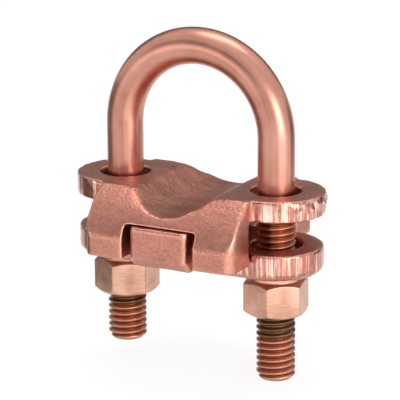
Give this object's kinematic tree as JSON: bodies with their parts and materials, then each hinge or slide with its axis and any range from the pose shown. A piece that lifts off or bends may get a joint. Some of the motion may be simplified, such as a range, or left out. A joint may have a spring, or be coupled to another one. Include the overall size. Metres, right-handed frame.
{
  "type": "earth rod clamp",
  "caption": "U-bolt earth rod clamp: a bronze U-bolt, a cast saddle with a curved rod seat, an interlocking pressure plate and hex nuts.",
  "frame": {"origin": "on the axis of the saddle's rod seat, midway between the U-bolt's legs", "axes": "+Y along the clamped rod, +Z from the saddle towards the U-bolt's bow, X from leg to leg"},
  "size_m": [0.0656, 0.0446, 0.0851],
  "materials": {
    "bright_bronze": "satin",
    "cast_bronze": "as cast, satin",
    "machined_bronze": "machined, satin"
  },
  "bodies": {
    "u_bolt": {"u_bolt": "bright_bronze"},
    "saddle": {"saddle_casting": "cast_bronze"},
    "plate": {"pressure_plate": "cast_bronze"},
    "left_nut": {"left_nut": "machined_bronze"},
    "right_nut": {"right_nut": "machined_bronze"}
  },
  "joints": [
    {"name": "plate_travel", "type": "slide", "parent": "u_bolt", "child": "plate", "axis": [0, 0, 1], "range_m": [-0.00953, 0.00953]},
    {"name": "saddle_lift", "type": "slide", "parent": "plate", "child": "saddle", "axis": [0, 0, 1], "range_m": [0, 0.008]},
    {"name": "left_nut_turn", "type": "hinge", "parent": "plate", "child": "left_nut", "pos_m": [-0.02085, 0, -0.0277], "axis": [0, 0, 1], "range_deg": [-2161, 2161]},
    {"name": "right_nut_turn", "type": "hinge", "parent": "plate", "child": "right_nut", "pos_m": [0.02085, 0, -0.0277], "axis": [0, 0, 1], "range_deg": [-2161, 2161]}
  ],
  "couplings": [
    {"joint": "left_nut_turn", "follows": "plate_travel", "rad_per_m": 3957.9},
    {"joint": "right_nut_turn", "follows": "plate_travel", "rad_per_m": 3957.9}
  ]
}
